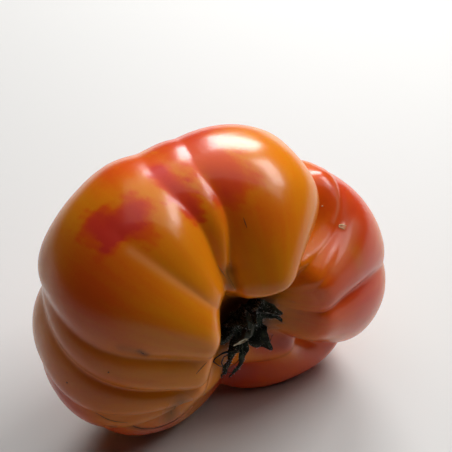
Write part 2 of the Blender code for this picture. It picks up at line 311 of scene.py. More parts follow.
def ribbedTree():
    names = [name for name in fruit if name[0].isupper()] + [f"{name} groove depth" for name in ribs]
    tree, given = newTree("ribbedFruit", [(name, "Float") for name in names])
    field = {
        name: addNode(tree, "GeometryNodeInputNamedAttribute", {"Name": name}, data_type="FLOAT")
        for name in fieldNames
    }
    turn = addNode(tree, "ShaderNodeMath", {0: field["turn"]}, operation="RADIANS")
    around = addNode(tree, "ShaderNodeMath", {0: field["angle"]}, operation="RADIANS")
    # how far the grooves sink the skin, summed over the ribs
    creaseSquare = addNode(tree, "ShaderNodeMath", {0: given["Crease Round"], 1: 2.0}, operation="POWER")
    sunk = 0.0
    for name, rib in ribs.items():
        grooveAt = addNode(
            tree, "ShaderNodeMath", {0: field["swingShare"], 1: rib["swing"], 2: rib["groove"]},
            operation="MULTIPLY_ADD",
        )
        grooveAt = addNode(
            tree, "ShaderNodeMath", {0: field["swayShare"], 1: rib["sway"], 2: grooveAt},
            operation="MULTIPLY_ADD",
        )
        off = addNode(tree, "ShaderNodeMath", {0: field["angle"], 1: grooveAt}, operation="SUBTRACT")
        gap = addNode(tree, "ShaderNodeMath", {0: off, 1: 180.0, 2: -180.0}, operation="WRAP")
        clockwise = addNode(tree, "ShaderNodeMath", {0: gap, 1: 0.0}, operation="LESS_THAN")
        fades = {0: clockwise, 2: rib["after"], 3: rib["before"]}
        fade = addNode(tree, "ShaderNodeMix", fades, data_type="FLOAT")
        square = addNode(
            tree, "ShaderNodeMath", {0: gap, 1: gap, 2: creaseSquare}, operation="MULTIPLY_ADD"
        )
        root = addNode(tree, "ShaderNodeMath", {0: square}, operation="SQRT")
        fall = addNode(tree, "ShaderNodeMath", {0: given["Crease Round"], 1: root}, operation="SUBTRACT")
        fall = addNode(tree, "ShaderNodeMath", {0: fall, 1: fade}, operation="DIVIDE")
        crease = addNode(tree, "ShaderNodeMath", {0: fall}, operation="EXPONENT")
        share = addNode(
            tree, "ShaderNodeMath", {0: field["rimShare"], 1: rib["rim"], 2: field["shoulderShare"]},
            operation="MULTIPLY_ADD",
        )
        deepest = given[f"{name} groove depth"]
        depth = addNode(tree, "ShaderNodeMath", {0: deepest, 1: crease}, operation="MULTIPLY")
        sunk = addNode(tree, "ShaderNodeMath", {0: depth, 1: share, 2: sunk}, operation="MULTIPLY_ADD")
    # the smooth body: a flattened round with a cavity in front and a dimple behind
    sine = addNode(tree, "ShaderNodeMath", {0: turn}, operation="SINE")
    side = addNode(tree, "ShaderNodeMath", {0: sine}, operation="ABSOLUTE")
    side = addNode(tree, "ShaderNodeMath", {0: side, 1: given["Side Round"]}, operation="POWER")
    radius = addNode(tree, "ShaderNodeMath", {0: field["reach"], 1: side}, operation="MULTIPLY")
    face = addNode(tree, "ShaderNodeMath", {0: turn}, operation="COSINE")
    inFront = addNode(tree, "ShaderNodeMath", {0: face, 1: 0.0}, operation="GREATER_THAN")
    face = addNode(tree, "ShaderNodeMath", {0: face}, operation="ABSOLUTE")
    front = addNode(tree, "ShaderNodeMath", {0: face, 1: given["Front Round"]}, operation="POWER")
    front = addNode(tree, "ShaderNodeMath", {0: front, 1: field["rise"]}, operation="MULTIPLY")
    toFloor = addNode(tree, "ShaderNodeMath", {0: given["Cavity Floor"], 1: front}, operation="SUBTRACT")
    cavity = bell(tree, radius, field["mouth"], given["Cavity Wall"])
    front = addNode(tree, "ShaderNodeMath", {0: cavity, 1: toFloor, 2: front}, operation="MULTIPLY_ADD")
    back = addNode(tree, "ShaderNodeMath", {0: face, 1: given["Back Round"]}, operation="POWER")
    back = addNode(tree, "ShaderNodeMath", {0: back, 1: given["Blossom Depth"]}, operation="MULTIPLY")
    dimple = bell(tree, radius, given["Dimple Radius"], 2.0)
    dimple = addNode(tree, "ShaderNodeMath", {0: dimple, 1: given["Dimple Depth"]}, operation="MULTIPLY")
    back = addNode(tree, "ShaderNodeMath", {0: dimple, 1: back}, operation="SUBTRACT")
    height = addNode(tree, "ShaderNodeMix", {0: inFront, 2: back, 3: front}, data_type="FLOAT")
    # the grooves draw the skin towards a ring inside the fruit, and never past it
    core = addNode(
        tree, "ShaderNodeMath", {0: field["reach"], 1: given["Core Share"]}, operation="MULTIPLY"
    )
    inward = addNode(tree, "ShaderNodeMath", {0: core, 1: radius}, operation="SUBTRACT")
    downward = addNode(tree, "ShaderNodeMath", {0: height, 1: -1.0}, operation="MULTIPLY")
    toCore = addNode(tree, "ShaderNodeCombineXYZ", {0: inward, 1: downward})
    distance = addNode(tree, "ShaderNodeVectorMath", {0: toCore}, operation="LENGTH").outputs["Value"]
    pull = addNode(tree, "ShaderNodeMath", {0: sunk, 1: distance}, operation="DIVIDE")
    pull = addNode(tree, "ShaderNodeMath", {0: pull}, operation="TANH")
    radius = addNode(tree, "ShaderNodeMath", {0: pull, 1: inward, 2: radius}, operation="MULTIPLY_ADD")
    height = addNode(tree, "ShaderNodeMath", {0: pull, 1: downward, 2: height}, operation="MULTIPLY_ADD")
    # from beside, above and along the stem axis to the object's own coordinates
    across = addNode(tree, "ShaderNodeMath", {0: around}, operation="COSINE")
    across = addNode(tree, "ShaderNodeMath", {0: across, 1: radius}, operation="MULTIPLY")
    upward = addNode(tree, "ShaderNodeMath", {0: around}, operation="SINE")
    upward = addNode(tree, "ShaderNodeMath", {0: upward, 1: radius}, operation="MULTIPLY")
    outward = addNode(tree, "ShaderNodeMath", {0: height, 1: -1.0}, operation="MULTIPLY")
    place = addNode(tree, "ShaderNodeCombineXYZ", {0: across, 1: outward, 2: upward})
    tilt = addNode(tree, "ShaderNodeMath", {0: given["Stem Tilt"], 1: -1.0}, operation="MULTIPLY")
    place = addNode(
        tree, "ShaderNodeVectorRotate", {"Vector": place, "Angle": tilt}, rotation_type="X_AXIS"
    )
    place = addNode(tree, "ShaderNodeVectorMath", {0: place, 1: fruit["stem at"]}, operation="ADD")
    shaped = addNode(tree, "GeometryNodeSetPosition", {"Geometry": given["Geometry"], "Position": place})
    # a slow wandering of the skin, and feet pressed flat where it stands
    fineness = addNode(tree, "ShaderNodeMath", {0: 1.0, 1: given["Undulation Size"]}, operation="DIVIDE")
    wander = addNode(
        tree, "ShaderNodeTexNoise", {"W": given["Seed"], "Scale": fineness, "Detail": 1.0},
        noise_dimensions="4D",
    )
    wander = addNode(tree, "ShaderNodeMath", {0: wander, 1: 0.5}, operation="SUBTRACT")
    wander = addNode(tree, "ShaderNodeMath", {0: wander, 1: given["Undulation"]}, operation="MULTIPLY")
    normal = addNode(tree, "GeometryNodeInputNormal")
    wander = addNode(tree, "ShaderNodeVectorMath", {0: normal, "Scale": wander}, operation="SCALE")
    shaped = addNode(tree, "GeometryNodeSetPosition", {"Geometry": shaped, "Offset": wander})
    place = addNode(tree, "ShaderNodeSeparateXYZ", {0: addNode(tree, "GeometryNodeInputPosition")})
    ground = addNode(
        tree, "ShaderNodeMath", {0: place.outputs[2], 1: 0.0, 2: given["Foot Softness"]},
        operation="SMOOTH_MAX",
    )
    pressed = addNode(tree, "ShaderNodeCombineXYZ", {0: place.outputs[0], 1: place.outputs[1], 2: ground})
    shaped = addNode(tree, "GeometryNodeSetPosition", {"Geometry": shaped, "Position": pressed})
    endTree(tree, given, shaped)
    return tree


# Marks on the skin: a path of angle and turn pairs, a width in mm to either side, and what the mark
# adds along its middle: red from amber to crimson, cork, pallor and shade from 0 to 1, and relief in
# mm outwards. Pallor is partly pale skin and partly painted highlight on rims and ridges; shade is
# partly dark skin and partly painted shade in hollows and on sides turned from the light. The last
# number is the edge: a higher one gives a flatter middle and a sharper border.

marks = [
    ("crimson blotch on the left", [(131, 80), (127, 73), (122, 72)], 5.4, {"red": 0.72}, 4),
    ("its lower tail", [(132, 71)], 3.6, {"red": 0.5}, 3),
    ("its right end", [(123, 63)], 3.6, {"red": 0.35}, 3),
    ("left shoulder", [(118, 96), (107, 92)], 8, {"red": 0.35}, 2),
    ("top of the narrow rib", [(109, 86), (109, 76), (108, 66), (108, 61)], 3.2, {"red": 0.7}, 4),
    ("left half of the crown", [(97, 104), (95, 90), (93.5, 78), (92.5, 68)], 7.5, {"red": 0.46}, 3),
    ("front of the crown", [(93, 61), (92, 52), (84, 46)], 8, {"red": 0.2}, 2),
    ("top of the crown", [(88, 100), (78, 104)], 7, {"red": 0.3}, 2),
    ("left flank", [(143, 65)], 15, {"red": 0.3}, 2),
    # painted shade: darker on this underside, which is turned from the light; its red is the skin's own
    ("left foot", [(160, 67), (179, 59)], 16, {"red": 0.16, "shade": 0.18}, 2),
    ("underside on the left", [(190, 84), (212, 76), (225, 62)], 9, {"red": 0.5}, 2),
    # painted shade darkens this flank, which the lamps light strongly; its red is the skin's own
    ("right flank", [(35, 79), (21, 47), (351, 43)], 13, {"red": 0.6, "shade": 0.12}, 2),
    ("amber patch on the right", [(24, 44), (18, 41)], 4, {"red": -0.35, "shade": 0.1}, 2),
    ("right flank by the cavity", [(19, 23), (348, 18)], 10, {"red": 0.25}, 2),
    ("right foot", [(285, 53), (315, 68)], 14, {"red": 0.45}, 2),
    # painted shade in the notch between the feet, over red skin
    ("notch between the feet", [(267, 53)], 9, {"red": 0.5, "shade": 0.3}, 2),
    # painted shade on the cavity wall under the calyx, over crimson skin
    ("wall below the calyx", [(298, 12), (312, 16)], 4.5, {"red": 0.5, "shade": 0.32}, 2),
    # a corky ring round the stem, darkened further by painted shade deep in the cavity
    (
        "ring round the calyx", [(0, 4), (90, 4), (180, 4), (270, 4), (360, 4)], 5.5,
        {"shade": 0.7, "cork": 0.5}, 3,
    ),
    # cork and a dent, darkened by painted shade in the notch at the rib's end
    (
        "corky and shaded end of the narrow rib", [(108, 27), (111, 22)], 1.8,
        {"cork": 0.4, "shade": 0.5, "relief": -0.8}, 2,
    ),
    ("tint on the left", [(159, 46), (159, 42), (160, 38)], 1.8, {"shade": 0.26}, 2),
    ("dark end of the tint", [(158.5, 40), (160, 37.5)], 0.9, {"shade": 0.4}, 2),
    # painted highlight: a pale line along the rim of the fold
    (
        "rim of the fold on the right", [(39, 95), (41, 83), (39, 69), (37.5, 61), (37, 53)], 0.5,
        {"relief": 0.25, "pale": 0.15}, 2,
    ),
    ("scar", [(33, 53)], 0.8, {"relief": 0.25, "pale": 0.6}, 2),
    # painted highlight: a pale sheen along the ridge
    (
        "ridge below the scar", [(29.5, 56), (29, 47), (28, 40), (29, 31)], 2.4,
        {"relief": 0.2, "pale": 0.14}, 2,
    ),
    # painted highlight: a pale line along a slight fold
    (
        "line on the left", [(130, 62), (129, 50), (128.5, 42), (127.5, 33), (127, 26)], 1.2,
        {"pale": 0.12}, 2,
    ),
    ("cork on the left foot", [(221, 42), (210, 33), (195, 26)], 2.6, {"cork": 0.4, "shade": 0.25}, 2),
    (
        "crack on the left foot", [(202, 61), (213, 56), (224, 50), (231, 46), (234, 41)], 1.2,
        {"cork": 0.5, "relief": -0.35}, 2,
    ),
    ("blossom scar", [(0, 180)], 4.5, {"cork": 0.8, "relief": 0.3}, 3),
]

ripening = {
    "front": 0.15,  # how red the skin is on the stem side, away from the marks
    "back": 0.7,  # how much redder it is round the blossom end
    "starts": 96,  # turn at which it starts to redden
    "ends": 150,
    "wobble": 0.3,  # how irregular the outlines of sharp marks are
    "wobble seed": 7,
}


def skinMaterial():
    # ripe slicing tomato: thin waxy skin over moist flesh, amber with red flames, so it is glossy and
    # a little translucent, with sharp reflections that soften over the faint pores
    material, tree, shader = newMaterial("waxyTomatoSkin")
    red, cork, pale, shade, ragged = (
        addNode(tree, "ShaderNodeAttribute", attribute_name=name).outputs["Fac"]
        for name in ("red", "cork", "pale", "shade", "ragged")
    )
    flow = addNode(tree, "ShaderNodeAttribute", attribute_name="flow").outputs["Vector"]
    place = addNode(tree, "ShaderNodeTexCoord").outputs["Object"]
    # flames that run along the ribs, about 3 mm across, and grains of about 0.8 mm at their edges
    flames = addNode(tree, "ShaderNodeTexNoise", {"Vector": flow, "Scale": 330.0, "Detail": 3.0})
    grains = addNode(tree, "ShaderNodeTexNoise", {"Vector": place, "Scale": 1300.0, "Detail": 2.0})
    wander = addNode(tree, "ShaderNodeMath", {0: flames, 1: 0.5, 2: -0.25}, operation="MULTIPLY_ADD")
    speck = addNode(tree, "ShaderNodeMath", {0: grains, 1: 0.22, 2: -0.11}, operation="MULTIPLY_ADD")
    wander = addNode(tree, "ShaderNodeMath", {0: wander, 1: speck}, operation="ADD")
    # strongest at the ragged edges of the blotches
    ragged = addNode(tree, "ShaderNodeMath", {0: ragged, 1: 5.0, 2: 0.5}, operation="MULTIPLY_ADD")
    ripeness = addNode(
        tree, "ShaderNodeMath", {0: wander, 1: ragged, 2: red}, operation="MULTIPLY_ADD", use_clamp=True
    )
    ramp = addNode(tree, "ShaderNodeValToRGB", {0: ripeness})
    fillRamp(ramp, [
        (0.0, "#DE8C0E"), (0.25, "#DD740E"), (0.5, "#DA5410"), (0.75, "#D6461C"), (1.0, "#CC3424"),
    ])
    colour = ramp
    # the pale tint is partly painted highlight and the dark brown tint partly painted shade, where the
    # marks use them so
    for share, tint in ((cork, "#6A5136"), (pale, "#E8C9A0"), (shade, "#2A1A10")):
        inputs = {0: share, 6: colour, 7: toLinear(tint)}
        colour = addNode(tree, "ShaderNodeMix", inputs, data_type="RGBA")
    # pores about 1.5 mm apart under the wax
    pores = addNode(tree, "ShaderNodeTexNoise", {"Vector": place, "Scale": 700.0, "Detail": 2.0})
    bump = addNode(tree, "ShaderNodeBump", {"Height": pores, "Strength": 0.05, "Distance": 0.0005})
    roughness = addNode(tree, "ShaderNodeMath", {0: cork, 1: 0.5, 2: 0.24}, operation="MULTIPLY_ADD")
    setInputs(tree, shader, {
        "Base Color": colour,
        "Normal": bump,
        "Roughness": roughness,
        "IOR": 1.36,
        "Subsurface Weight": 0.15,
        "Subsurface Radius": (1.0, 0.35, 0.1),
        "Subsurface Scale": 0.003,
        "Coat Weight": 0.15,
        "Coat Roughness": 0.14,
    })
    return material


def throughPoints(path, per):
    # a smooth curve through points, with so many steps between one point and the next
    path = np.array(path, float)
    if len(path) == 1:
        return path
    padded = np.vstack([2 * path[0] - path[1], path, 2 * path[-1] - path[-2]])
    curve = []
    for a, b, c, d in zip(padded, padded[1:], padded[2:], padded[3:]):
        t = np.linspace(0, 1, per, endpoint=False)[:, None]
        square = t**2 * (a - 2.5 * b + 2 * c - d / 2)
        cube = t**3 * (1.5 * (b - c) + (d - a) / 2)
        curve.append(b + t * (c - a) / 2 + square + cube)
    return np.vstack([*curve, path[-1:]])


def pathOnSkin(path, grid, angles, turns):
    # points on the skin less than a millimetre apart, along angle and turn pairs
    path = np.array(path, float)
    path[:, 0] = np.unwrap(path[:, 0], period=360)
    spots = []
    for angle, turn in throughPoints(path, 12):
        row = np.interp(turn, turns[:, 0], np.arange(len(turns)))
        low = min(int(row), len(turns) - 2)
        pair = [
            [np.interp(angle, angles[r], grid[r, :, axis], period=360) for axis in range(3)]
            for r in (low, low + 1)
        ]
        spots.append(np.array(pair[0]) * (low + 1 - row) + np.array(pair[1]) * (row - low))
    return np.array(spots)


def distanceTo(points, path):
    nearest = np.full(len(points), np.inf)
    for start, end in zip(path, path[1:] if len(path) > 1 else path):
        along = end - start
        t = np.clip((points - start) @ along / max(along @ along, 1e-12), 0, 1)
        nearest = np.minimum(nearest, np.linalg.norm(points - start - t[:, None] * along, axis=1))
    return nearest


def makeFruit():
    angles, turns = fruitGrid()
    rows, columns = angles.shape
    base = closedMesh("fruitBase", np.stack([angles, turns, 0 * turns], axis=-1))

    def spread(values):
        # the same values in the order of the mesh, with one point at each end
        return np.concatenate([values[0, :1], values[1:-1].ravel(), values[-1, :1]])

    # the shares of a groove's full depth, and of the depth left at the rim, at a few turns
    shareTurns = (0, 8, 29, 90, 140, 172, 180)
    shoulderShares = (0, 0.03, 1, 0, 0.15, 0.05, 0)
    rimShares = (0, 0, 0, 1, 0.5, 0, 0)
    fields = {
        "angle": angles % 360,
        "turn": turns,
        "reach": throughCrests(angles, "reach"),
        "rise": throughCrests(angles, "rise"),
        "mouth": throughCrests(angles, "mouth"),
        "shoulderShare": smoothThrough(turns, shareTurns, shoulderShares),
        "rimShare": smoothThrough(turns, shareTurns, rimShares),
        "swingShare": swingShare(turns),
        "swayShare": swayShare(turns),
    }
    for name in fieldNames:
        setAttribute(base, name, spread(fields[name]))
    material = skinMaterial()
    values = {name: value for name, value in fruit.items() if name[0].isupper()}
    values.update({f"{name} groove depth": rib["depth"] for name, rib in ribs.items()})
    mesh = applyTree("ribbedFruit", base, ribbedTree(), values, material)
    points = getVectors(mesh, "co")
    grid = np.concatenate([
        points[:1].repeat(columns, 0), points[1:-1], points[-1:].repeat(columns, 0)
    ]).reshape(rows, columns, 3)
    # coordinates in metres that change fast across the ribs and slowly along them, for the flames
    around = np.radians(angles)
    flow = np.stack([0.05 * np.cos(around), 0.05 * np.sin(around), turns * 0.0001], axis=-1)
    flow = np.concatenate([flow[0, :1], flow[1:-1].reshape(-1, 3), flow[-1, :1]])
    setAttribute(mesh, "flow", flow, "FLOAT_VECTOR")
    added = {name: np.zeros(len(points)) for name in ("relief", "cork", "pale", "shade", "ragged")}
    redder = smoothStep(spread(turns), ripening["starts"], ripening["ends"])
    added["red"] = ripening["front"] + ripening["back"] * redder
    # waves 3 to 9 mm long in many directions make the outlines of sharp marks irregular
    waves = np.random.default_rng(ripening["wobble seed"]).normal(size=(10, 3))
    waves = waves * np.linspace(700, 2100, 10)[:, None] / 1.7
    wobble = 1 + ripening["wobble"] * (2.2 * np.sin(points @ waves.T + np.arange(10)).mean(1))
    for label, path, width, adds, edge in marks:
        away = distanceTo(points, pathOnSkin(path, grid, angles, turns))
        if edge > 2:
            away *= wobble
        share = np.exp(-((away / (width / 1000)) ** edge))
        for name, amount in adds.items():
            added[name] += amount * share
        if edge > 2:
            added["ragged"] += adds.get("red", 0) * share * (1 - share)
    points += getVectors(mesh, "normal") * added.pop("relief")[:, None] / 1000
    mesh.vertices.foreach_set("co", points.astype(np.float32).ravel())
    for name, values in added.items():
        setAttribute(mesh, name, values)
    for name in fieldNames:
        mesh.attributes.remove(mesh.attributes[name])
    return newPiece("tomatoFruit", mesh, material), grid, angles, turns


tomatoFruit, fruitPoints, fruitAngles, fruitTurns = makeFruit()
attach(tomatoFruit, "root")
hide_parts("fruit")
print("fruit done", len(tomatoFruit.data.polygons), "faces")

# The calyx: eight dried sepals on a small dished disc at the bottom of the cavity

calyx = {
    "floor": 0.0143,  # the disc's underside, along the stem axis
    "disc radius": 0.0060,
    "disc thickness": 0.0018,
    "disc crumple": 0.0003,
    "disc crumple size": 0.0015,
    "dish": 0.0010,
    "root radius": 0.0034,
    "blade thickness": 0.0005,
    "stations": 40,
    "across": 15,
    "crumple": 0.0009,  # how far the dry blades are crumpled
    "crumple size": 0.0030,
    "midrib": 0.0005,  # depth of the furrow along the middle of a blade
    "midrib share": 0.15,  # its width, as a share of the blade's half width
    "edge thickness": 0.00003,
}

# angle and sway round the axis, length, width, lift, bend, twist and how far the sides curl,
# angles in degrees and lengths in metres
sepals = [
    (10, -12, 0.0088, 0.0080, 34, 15, 30, 90),
    (44, -4, 0.0125, 0.0095, 42, 40, -20, 60),
    (90, 10, 0.0105, 0.0095, 50, 60, 30, 70),
    (138, -8, 0.0110, 0.0090, 45, 60, -50, 70),
    (190, -15, 0.0110, 0.0070, 35, 0, 50, 100),
    (232, 12, 0.0190, 0.0032, 30, -60, 120, 160),
    (262, -18, 0.0165, 0.0032, 35, -50, -140, 160),
    (293, 6, 0.0104, 0.0084, 26, 60, 25, 95),
]


def fromStem(across, up, height):
    tilt = fruit["Stem Tilt"]
    at = fruit["stem at"]
    return np.stack([
        at[0] + across,
        at[1] + up * math.sin(tilt) - height * math.cos(tilt),
        at[2] + up * math.cos(tilt) + height * math.sin(tilt),
    ], axis=-1)


def crumpled(rings, amount, size, seed):
    # moves the points of rings by a smooth noise, a separate one along each axis
    flat = [Vector(point) / size for point in rings.reshape(-1, 3)]
    shifts = [Vector(shift) for shift in ((seed, 0, 0), (seed, 31.7, 5.3), (seed, 11.9, 47.1))]
    moves = [[noise.noise(point + shift) * amount for shift in shifts] for point in flat]
    return rings + np.array(moves).reshape(rings.shape)


def bladeRings(sepal, number):
    angle, sway, length, width, lift, bend, twist, curl = sepal
    s = np.linspace(0, 1, calyx["stations"])
    step = length / (calyx["stations"] - 1)
    climb = np.radians(lift + bend * s)
    out = calyx["root radius"] + np.concatenate([[0], np.cumsum(np.cos(climb[:-1]) * step)])
    rootHeight = calyx["floor"] + calyx["disc thickness"] / 2
    high = rootHeight + np.concatenate([[0], np.cumsum(np.sin(climb[:-1]) * step)])
    # a blade sways and twists most near its tip
    around = np.radians(angle + sway * s**1.5)
    turning = np.radians(twist * s**1.5)
    # it is widest before its middle, narrows to a point, and rolls up more towards the tip
    half = width / 2 * (0.75 + 0.5 * np.sin(math.pi * np.minimum(s * 1.3, 1))) * (1 - 0.92 * s**2.2)
    rolled = np.radians(curl) * (0.4 + 0.6 * s)
    u = np.linspace(-1, 1, calyx["across"])
    up = np.array([0, 0, 1])
    rings = []
    for i in range(calyx["stations"]):
        outward = np.array([math.cos(around[i]), math.sin(around[i]), 0])
        along = outward * math.cos(climb[i]) + up * math.sin(climb[i])
        side = np.cross(up, outward)
        flat = side * math.cos(turning[i]) + np.cross(along, side) * math.sin(turning[i])
        upright = np.cross(flat, along)
        middle = outward * out[i] + up * high[i]
        over = half[i] * np.sin(rolled[i] * u) / rolled[i]
        midrib = calyx["midrib"] * np.exp(-((u / calyx["midrib share"]) ** 2))
        rise = half[i] * (1 - np.cos(rolled[i] * u)) / rolled[i] - midrib
        thick = calyx["blade thickness"] / 2 * (1.1 - u**2) + calyx["edge thickness"]
        top = middle + flat * over[:, None] + upright * (rise + thick)[:, None]
        under = middle + flat * over[:, None] + upright * (rise - thick)[:, None]
        rings.append(np.vstack([top, under[::-1]]))
    rings = crumpled(np.array(rings), calyx["crumple"], calyx["crumple size"], number * 7.0)
    rings = np.array([rings[0], *rings, rings[-1]])
    return fromStem(rings[..., 0], rings[..., 1], rings[..., 2])


def discRings():
    # a dished disc with a bumpy rim
    profile = [(0, 0), (0.4, 0), (0.8, 0), (0.97, 0.2), (1, 0.5), (0.95, 0.9), (0.7, 1), (0.4, 1), (0, 1)]
    out, along = np.array(profile).T  # shares of the radius and of the thickness
    around = np.radians(np.arange(0, 360, 5))
    wavy = 1 + 0.06 * np.sin(8 * around) + 0.03 * np.sin(19 * around)
    radius = calyx["disc radius"] * out[:, None] * wavy
    height = calyx["floor"] + calyx["disc thickness"] * along + calyx["dish"] * out**2
    height = height[:, None] + 0 * around
    rings = np.stack([radius * np.cos(around), radius * np.sin(around), height], axis=-1)
    rings = crumpled(rings, calyx["disc crumple"], calyx["disc crumple size"], 3.0)
    return fromStem(rings[..., 0], rings[..., 1], rings[..., 2])


def sepalMaterial():
    # dried tomato calyx: thin leaf that shrank and blackened as it dried, so it is matte and nearly
    # black, with blotches of grey-green
    material, tree, shader = newMaterial("driedSepal")
    place = addNode(tree, "ShaderNodeTexCoord").outputs["Object"]
    blotches = addNode(tree, "ShaderNodeTexNoise", {"Vector": place, "Scale": 420.0, "Detail": 4.0})
    ramp = addNode(tree, "ShaderNodeValToRGB", {0: blotches})
    fillRamp(ramp, [(0.3, "#0F130D"), (0.5, "#1B2117"), (0.62, "#30382A"), (0.75, "#4A4F3C")])
    # veins and wrinkles about 0.4 mm apart
    wrinkles = addNode(tree, "ShaderNodeTexNoise", {"Vector": place, "Scale": 2500.0, "Detail": 3.0})
    bump = addNode(tree, "ShaderNodeBump", {"Height": wrinkles, "Strength": 0.6, "Distance": 0.0003})
    setInputs(tree, shader, {
        "Base Color": ramp, "Normal": bump, "Roughness": 0.85, "Specular IOR Level": 0.3,
    })
    return material


def makeCalyx():
    blades = [bladeRings(sepal, number) for number, sepal in enumerate(sepals)]
    mesh = closedMesh("driedCalyx", discRings(), *blades)
    outwardFaces(mesh)
    return newPiece("driedCalyx", mesh, sepalMaterial())


driedCalyx = makeCalyx()
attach(driedCalyx, "root")
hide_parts("calyx")
print("calyx done", len(driedCalyx.data.polygons), "faces")

# Strands and scars: thin tapering threads swept along paths


def sweptTree():
    # sweeps a round section along edges, its radius given by their thickness attribute
    tree, given = newTree("sweptThread", [("Sides", "Int"), ("Thickness Share", "Float")])
    curve = addNode(tree, "GeometryNodeMeshToCurve", {"Mesh": given["Geometry"]})
    thick = addNode(tree, "GeometryNodeInputNamedAttribute", {"Name": "thickness"}, data_type="FLOAT")
    radius = addNode(
        tree, "ShaderNodeMath", {0: thick, 1: given["Thickness Share"]}, operation="MULTIPLY"
    )
    section = addNode(
        tree, "GeometryNodeCurvePrimitiveCircle", {"Resolution": given["Sides"], "Radius": 1.0}
    )
    swept = addNode(
        tree, "GeometryNodeCurveToMesh",
        {"Curve": curve, "Profile Curve": section.outputs["Curve"], "Scale": radius, "Fill Caps": True},
    )
    endTree(tree, given, swept)
    return tree


def sweepThreads(name, threads, material, sides=8):
    # a thread is a path, the half width along it, and a tone for the material
    points, edges, thickness, tone = [], [], [], []
    for path, widths, shade in threads:
        first = len(points)
        points += path.tolist()
        edges += [(first + i, first + i + 1) for i in range(len(path) - 1)]
        thickness += list(widths)
        tone += [shade] * len(path)
    base = bpy.data.meshes.new(name + "Paths")
    base.from_pydata(points, edges, [])
    setAttribute(base, "thickness", thickness)
    setAttribute(base, "tone", tone)
    mesh = applyTree(name, base, sweptTree(), {"Sides": sides, "Thickness Share": 1.0}, material)
    outwardFaces(mesh)
    return newPiece(name, mesh, material)


strandShape = {
    "crumple": 0.0008,
    "crumple size": 0.003,
    "taper": 0.85,  # how much thinner a strand is at its tip
    "knots": 0.25,  # how uneven it is
}

# the dried strands that hang from the calyx: points of angle in degrees, radius and height along the
# stem axis in mm, and the strand's half width in mm
strands = [
    (
        [(225, 4, 16), (228, 8, 20.5), (205, 12, 20), (212, 15, 18.5), (228, 16, 18), (240, 15.5, 17.5)],
        0.32,
    ),
    ([(240, 5, 16), (238, 9, 19), (222, 13, 18), (238, 17, 18), (251, 18, 17.5)], 0.26),
    ([(250, 5, 16), (246, 9, 19.5), (252, 14, 18), (256, 17, 17), (250, 20, 17)], 0.30),
    ([(262, 5, 16), (258, 10, 19), (247, 13, 18.5), (240, 16, 19)], 0.22),
    ([(300, 5, 16), (305, 9, 20), (320, 10, 19.5)], 0.25),
    ([(130, 5, 16), (126, 9, 20), (120, 10, 22)], 0.25),
]


def makeStrands():
    threads = []
    for path, width in strands:
        angle, radius, height = np.array(path, float).T
        angle = np.radians(angle)
        path = np.stack([np.cos(angle) * radius, np.sin(angle) * radius, height], axis=-1)
        curve = throughPoints(path, 10)
        s = np.linspace(0, 1, len(curve))
        shape = strandShape["crumple"], strandShape["crumple size"]
        curve = crumpled(curve / 1000, *shape, width * 100)
        points = fromStem(curve[:, 0], curve[:, 1], curve[:, 2])
        widths = width / 1000 * (1.1 - strandShape["taper"] * s)
        widths = widths * (1 + strandShape["knots"] * np.sin(s * 23))
        threads.append((points, widths, 0.0))
    return sweepThreads("driedStrands", threads, driedCalyx.data.materials[0])


driedStrands = makeStrands()
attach(driedStrands, "root")
print("strands done", len(driedStrands.data.polygons), "faces")

# The stalk's broken end

stalk = {
    "foot": 0.0164,
    "radius": 0.0021,
    "length": 0.0085,
    "lean": -0.0066,  # how far its end hangs over, along +X
    "droop": 0.0008,
    "ridges": 6,
    "ridge depth": 0.08,
    "slant": 0.75,  # how steeply the broken end is cut
    "crumple": 0.00035,
    "crumple size": 0.0012,
}


def stalkRings():
    # share of the radius, share of the length
    profile = [
        (0, 0), (1.2, 0), (1.05, 0.12), (0.98, 0.3), (0.95, 0.5), (0.98, 0.68), (1.08, 0.8), (1.18, 0.9),
        (1.2, 0.95), (1.16, 0.985), (1.0, 1.0), (0.85, 0.985), (0.7, 0.95), (0.4, 0.93), (0, 0.93),
    ]
    out, along = throughPoints(profile, 3).T
    around = np.radians(np.arange(0, 360, 6))
    ridged = 1 + stalk["ridge depth"] * np.cos(stalk["ridges"] * around + 2.0)
    radius = stalk["radius"] * np.maximum(out, 0)[:, None] * ridged
    across = (stalk["lean"] * along**2)[:, None] + radius * np.cos(around)
    up = (stalk["droop"] * along**2)[:, None] + radius * np.sin(around)
    cut = smoothStep(along, 0.5, 0.95)[:, None] * stalk["slant"] * radius * np.sin(around)
    height = (stalk["foot"] + stalk["length"] * along)[:, None] + cut
    rings = np.stack([across, up, height], axis=-1)
    rings = crumpled(rings, stalk["crumple"], stalk["crumple size"], 5.0)
    # the broken face starts at rings 27 to 31, where the profile turns inwards
    face = smoothStep(np.arange(len(out)), 27, 31)
    return fromStem(rings[..., 0], rings[..., 1], rings[..., 2]), np.repeat(face, len(around))


